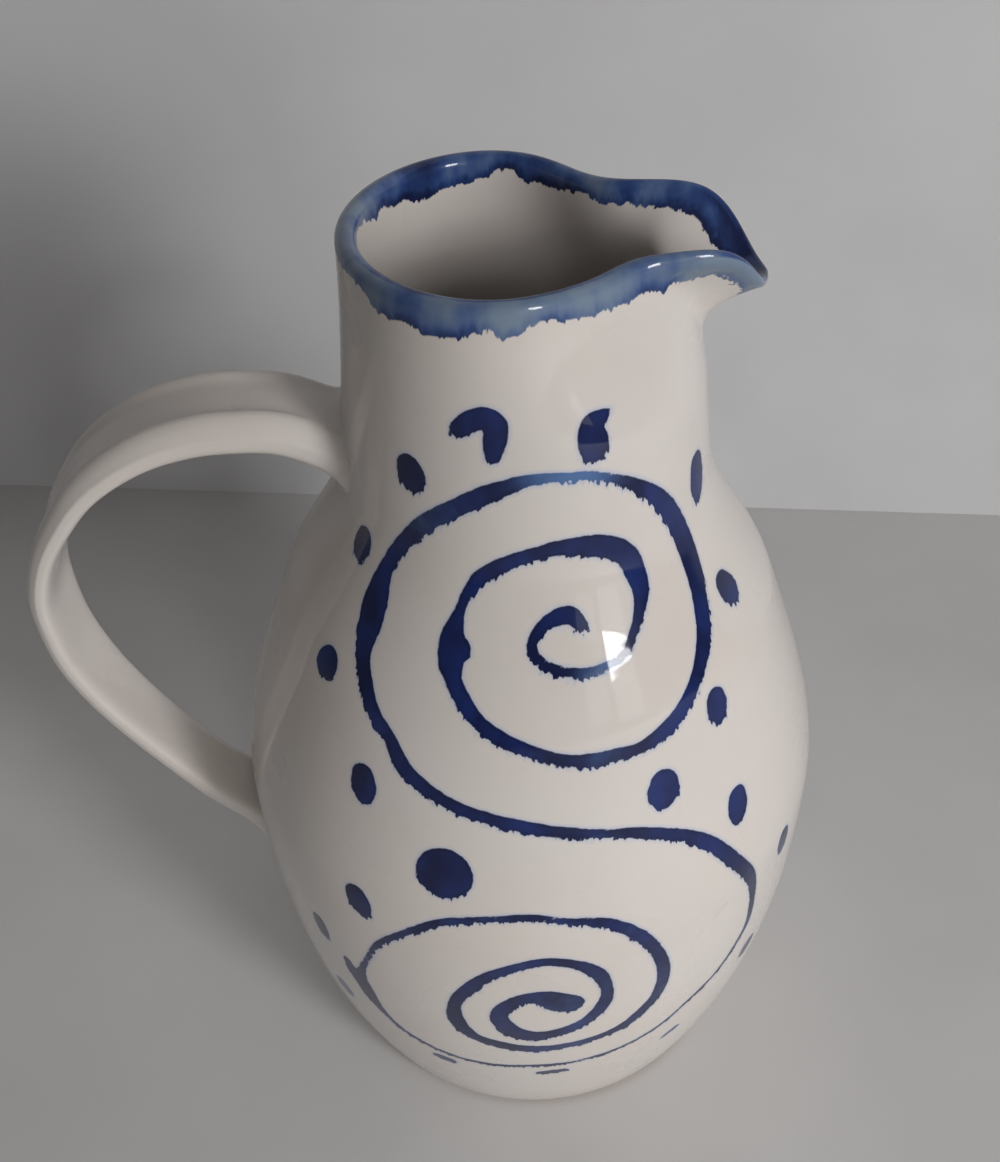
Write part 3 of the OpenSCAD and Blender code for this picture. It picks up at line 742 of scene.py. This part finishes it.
glaze = {
    "cream": (0.640, 0.595, 0.560, 1),
    "creamWarm": (0.615, 0.560, 0.515, 1),
    "creamPool": (0.560, 0.520, 0.485, 1),
    "clay": (0.42, 0.30, 0.21, 1),
    "navy": (0.0035, 0.0075, 0.048, 1),
    "cobalt": (0.0080, 0.022, 0.125, 1),
    "wash": (0.075, 0.155, 0.34, 1),
    "halo": (0.40, 0.46, 0.62, 1),
    "bandPale": (0.16, 0.215, 0.29, 1),
    "bandBlue": (0.030, 0.072, 0.23, 1),
    "bandDark": (0.008, 0.014, 0.060, 1),
    "shine": 0.1,
    "bend": 1.5,
    "roughness": 0.25,
    "roughnessSpan": 0.14,
    "coat": 0.7,
    "coatRoughness": 0.04,
    "bumpStrength": 0.35,
    "bumpHeight": 0.0004,
    "dimple": 0.02,        # how much of the bump is the glaze's own
    "inkRelief": 0.25,     # and how much the laid colour
    "speck": 0.15,
    "toothLength": 0.8,    # millimetres that the colour runs down from a stroke
    "toothLeast": 0.3,     # the least share of that, where the edge is smooth
    "fray": 0.15,          # millimetres that a stroke's edge strays, and how many more where it is jagged
    "frayJagged": 0.5,
    "edgeDense": 0.35,     # how much denser the colour lies along a stroke's edge
    "patchy": 0.5,
    "haloStrength": 0.55,
    "bandTooth": 0.9,
    "bandFray": 0.5,
    "bandDense": 0.5,      # how much the density laid out over the wall counts
    "bandEdgeDeep": 0.15,  # and how much the colour gathers along the band's edge
    "bandEdgeDark": 0.2,
    "bareFrom": 0.0012,    # metres up the foot, below which the clay is bare
    "bareTo": 0.0019,
    "bareFray": 0.0016,
}

# Noises: grains per metre, then detail, roughness, and a share below 1 that draws the grains out upwards
grains = {
    "cloud": [22, 3],
    "speck": [240],
    "roughness": [60],
    "dimple": [170, 1],
    "columns": [1050, 1.5, 0.55, 0.35],
    "fray": [480, 3, 0.6],
    "jagged": [55, 1],
    "pool": [120, 3, 0.5, 0.6],
    "patch": [260],
    "bandTeeth": [600, 2, 0.65, 0.3],
    "flow": [90, 3, 0.6, 0.5],
    "stage": [14, 3],
}
middleGrain = 0.5  # what a noise comes to on average

# Where a noise, or a distance in millimetres, begins to count and where it counts in full
spans = {
    "cloud": [0.35, 0.75],
    "speck": [0.5, 0.85],
    "roughness": [0.2, 0.9],
    "columns": [0.4, 0.7],
    "below": [-0.1, 0.75],
    "jagged": [0.32, 0.56],
    "inkEdge": [-0.16, 0.16],
    "halo": [0.0, 1.0],
    "pool": [0.3, 0.75],
    "edgeDense": [-0.9, -0.1],
    "washed": [0.15, 1.1],
    "bandTeeth": [0.4, 0.68],
    "bandEdge": [-0.2, 0.2],
    "bandEdgeDeep": [-3.0, -0.2],
    "bandEdgeDark": [-2.5, -0.2],
    "bandDeep": [0.5, 0.95],
    "bandDark": [0.75, 1.15],
    "stage": [0.3, 0.8],
}


def creamColour(finish):
    cloud = finish.grain(*grains["cloud"]).rise(*spans["cloud"])
    speck = finish.grain(*grains["speck"]).rise(*spans["speck"])
    cream = finish.blend(cloud, glaze["cream"], glaze["creamWarm"])
    return finish.blend(speck * glaze["speck"], cream, glaze["creamPool"])


def brushedInk(finish, fray):  # how far the ink of scroll and dabs covers, its halo and its colour
    edge, below, thin = [finish.paint(name) for name in ("inkEdge", "inkBelow", "inkThin")]
    columns = finish.grain(*grains["columns"]).rise(*spans["columns"])
    least = glaze["toothLeast"]
    jagged = finish.grain(*grains["jagged"]).rise(*spans["jagged"]) * (1 - least) + least
    teeth = columns * below.rise(*spans["below"]) * jagged * glaze["toothLength"]
    line = edge - teeth - fray * (jagged * glaze["frayJagged"] + glaze["fray"])
    ink = 1 - line.rise(*spans["inkEdge"])
    halo = (1 - line.rise(*spans["halo"])) * glaze["haloStrength"]
    pool = finish.grain(*grains["pool"]).rise(*spans["pool"])
    gathered = line.rise(*spans["edgeDense"]) * glaze["edgeDense"]
    dense = finish.blend((pool - gathered).atLeast(0), glaze["navy"], glaze["cobalt"])
    patch = finish.grain(*grains["patch"]) - middleGrain
    washed = (thin + patch * glaze["patchy"]).rise(*spans["washed"])
    return ink, halo, finish.blend(washed, dense, glaze["wash"])


def bandInk(finish, fray):  # how far the rim's band covers, and its colour
    edge, share = finish.paint("bandEdge"), finish.paint("bandDense")
    teeth = finish.grain(*grains["bandTeeth"]).rise(*spans["bandTeeth"])
    line = edge - teeth * glaze["bandTooth"] - fray * glaze["bandFray"]
    flow = finish.grain(*grains["flow"]) + share * glaze["bandDense"]
    deep = (flow + line.rise(*spans["bandEdgeDeep"]) * glaze["bandEdgeDeep"]).rise(*spans["bandDeep"])
    dark = (flow + line.rise(*spans["bandEdgeDark"]) * glaze["bandEdgeDark"]).rise(*spans["bandDark"])
    colour = finish.blend(deep, glaze["bandPale"], glaze["bandBlue"])
    return 1 - line.rise(*spans["bandEdge"]), finish.blend(dark, colour, glaze["bandDark"])


def gloss(finish, relief=0):
    uneven = finish.grain(*grains["roughness"]).rise(*spans["roughness"]) * glaze["roughnessSpan"]
    finish.set("Roughness", uneven + glaze["roughness"])
    finish.set("Coat Roughness", glaze["coatRoughness"])
    finish.set("IOR", glaze["bend"])
    finish.set("Specular IOR Level", glaze["shine"])
    height = finish.grain(*grains["dimple"]) * glaze["dimple"] + relief
    bump = {"Strength": glaze["bumpStrength"], "Distance": glaze["bumpHeight"], "Height": height}
    finish.set("Normal", finish.node("ShaderNodeBump", None, bump))


def paintedGlaze():
    finish = Finish("painted glaze")
    fray = finish.grain(*grains["fray"]) - middleGrain
    ink, halo, inkColour = brushedInk(finish, fray)
    rim, rimColour = bandInk(finish, fray)
    height = finish.node("ShaderNodeSeparateXYZ", None, {"Vector": finish.place}, "Z")
    bare = 1 - (height + fray * glaze["bareFray"]).rise(glaze["bareFrom"], glaze["bareTo"])
    colour = creamColour(finish)
    for share, layer in ((halo, glaze["halo"]), (ink, inkColour), (rim, rimColour), (bare, glaze["clay"])):
        colour = finish.blend(share, colour, layer)
    finish.set("Base Color", colour)
    finish.set("Coat Weight", (1 - bare) * glaze["coat"])
    gloss(finish, ink * glaze["inkRelief"])
    return finish.material


def plainGlaze():
    finish = Finish("plain glaze")
    finish.set("Base Color", creamColour(finish))
    finish.set("Coat Weight", glaze["coat"])
    gloss(finish)
    return finish.material


body = makeBody()
body.data.materials.append(paintedGlaze())
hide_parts("thrown_body", "rim_band", "front_scroll", "front_dots", "back_scroll", "back_dots")
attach(body, "root")

strap = makeHandle()
strap.data.materials.append(plainGlaze())
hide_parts("pulled_handle", "upper_joint_coil", "lower_joint_coil")
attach(strap, "root")


# Table and wall

room = {
    "tableColour": (0.62, 0.61, 0.605, 1),
    "wallColour": (0.64, 0.635, 0.64, 1),
    "darker": 0.93,
    "roughness": 0.7,
    "tableSize": 6,
    "wallSize": 4,
    "wallPlace": (0.0, 0.206, 0.0),
    "wallTurn": -6.4,
    "ambient": 0.12,
    "ambientColour": (1, 0.985, 0.97, 1),
}


def stageFinish(name, colour):
    finish = Finish(name)
    tone = finish.grain(*grains["stage"]).rise(*spans["stage"])
    darker = tuple(c * room["darker"] for c in colour[:3]) + (1,)
    finish.set("Base Color", finish.blend(tone, colour, darker))
    finish.set("Roughness", room["roughness"])
    return finish


def clearBehind(finish):  # seen from behind, the wall doesn't hide the jug
    back = finish.node("ShaderNodeNewGeometry", out="Backfacing")
    clearBack = finish.node("ShaderNodeBsdfTransparent")
    front = Wire(finish, finish.shader.outputs[0])
    shown = finish.node("ShaderNodeMixShader", None, {0: back, 1: front, 2: clearBack})
    finish.feed(finish.tree.nodes["Material Output"].inputs["Surface"], shown)


def addPlane(name, finish, size, place=(0, 0, 0), turn=(0, 0, 0)):
    clear()
    bpy.ops.mesh.primitive_plane_add(size=size, location=place, rotation=turn)
    plane = named(name)
    plane.data.materials.append(finish.material)
    return plane


wallFinish = stageFinish("pale wall", room["wallColour"])
clearBehind(wallFinish)
table = addPlane("table", stageFinish("pale table", room["tableColour"]), room["tableSize"])
wall = addPlane("wall", wallFinish, room["wallSize"], room["wallPlace"],
                (math.radians(90), 0, math.radians(room["wallTurn"])))


# Lights: turn from the front line, height above the horizon, distance, size across and up, power

windows = {
    "windowTop": [39.5, 22.5, 1.6, 0.31, 0.46, 9.5],
    "windowLow": [39.5, 7.5, 1.6, 0.31, 0.36, 0.4],
    "windowLeft": [26.5, 10.0, 1.6, 0.25, 0.36, 0.25],
    "windowRight": [62.5, 8.5, 1.6, 0.42, 0.16, 0.25],
    "room": [38, 13, 1.6, 0.9, 0.6, 6.5],
}
windowsFace = Vector((0, 0, 0.12))
unseen = ["room", "windowRight"]  # lights whose mirror image the glaze doesn't show

# Light thrown back from the table in front
bounce = {
    "turn": 15,
    "rise": 24,
    "distance": 1.2,
    "power": 30,
    "faces": Vector((0.0, -0.10, 0.005)),
    "cone": 13,
    "blend": 1.0,
    "softness": 0.15,
}


def addLamp(kind, name, faces, turn, rise, distance, power):
    a, e = math.radians(turn), math.radians(rise)
    place = faces + Vector((math.sin(a) * math.cos(e), -math.cos(a) * math.cos(e), math.sin(e))) * distance
    clear()
    bpy.ops.object.light_add(type=kind, location=place)
    lamp = bpy.context.object
    lamp.name = name
    lamp.data.energy = power
    lamp.rotation_euler = (faces - place).to_track_quat("-Z", "Y").to_euler()
    return lamp


for name, (turn, rise, distance, across, up, power) in windows.items():
    lamp = addLamp("AREA", name, windowsFace, turn, rise, distance, power)
    lamp.data.shape = "RECTANGLE"
    lamp.data.size = across
    lamp.data.size_y = up
    lamp.visible_glossy = name not in unseen

lamp = addLamp("SPOT", "bounce", bounce["faces"], bounce["turn"], bounce["rise"], bounce["distance"],
               bounce["power"])
lamp.data.spot_size = math.radians(bounce["cone"])
lamp.data.spot_blend = bounce["blend"]
lamp.data.shadow_soft_size = bounce["softness"]
lamp.visible_glossy = False

world = bpy.data.worlds.new("room light")
bpy.context.scene.world = world
world.use_nodes = True
world.node_tree.nodes["Background"].inputs["Color"].default_value = room["ambientColour"]
world.node_tree.nodes["Background"].inputs["Strength"].default_value = room["ambient"]
print("room lit")


# Camera, found from the photo's outlines: place in millimetres, turns in degrees

view = {
    "place": (-8.29, -237.50, 335.26),
    "down": 40.381,
    "heading": 0.573,
    "roll": -1.772,
    "lens": 43.37,
    "sensor": 36,
    "nearest": 0.01,
}
clear()
bpy.ops.object.camera_add()
camera = bpy.context.object
camera.data.lens = view["lens"]
camera.data.sensor_width = view["sensor"]
camera.data.clip_start = view["nearest"]
camera.matrix_world = (Matrix.Translation(Vector(view["place"]) * mm)
                       @ Matrix.Rotation(math.radians(-view["heading"]), 4, "Z")
                       @ Matrix.Rotation(math.radians(90 - view["down"]), 4, "X")
                       @ Matrix.Rotation(math.radians(view["roll"]), 4, "Z"))
bpy.context.scene.camera = camera
bpy.context.scene.view_settings.view_transform = "Standard"
print("camera set")
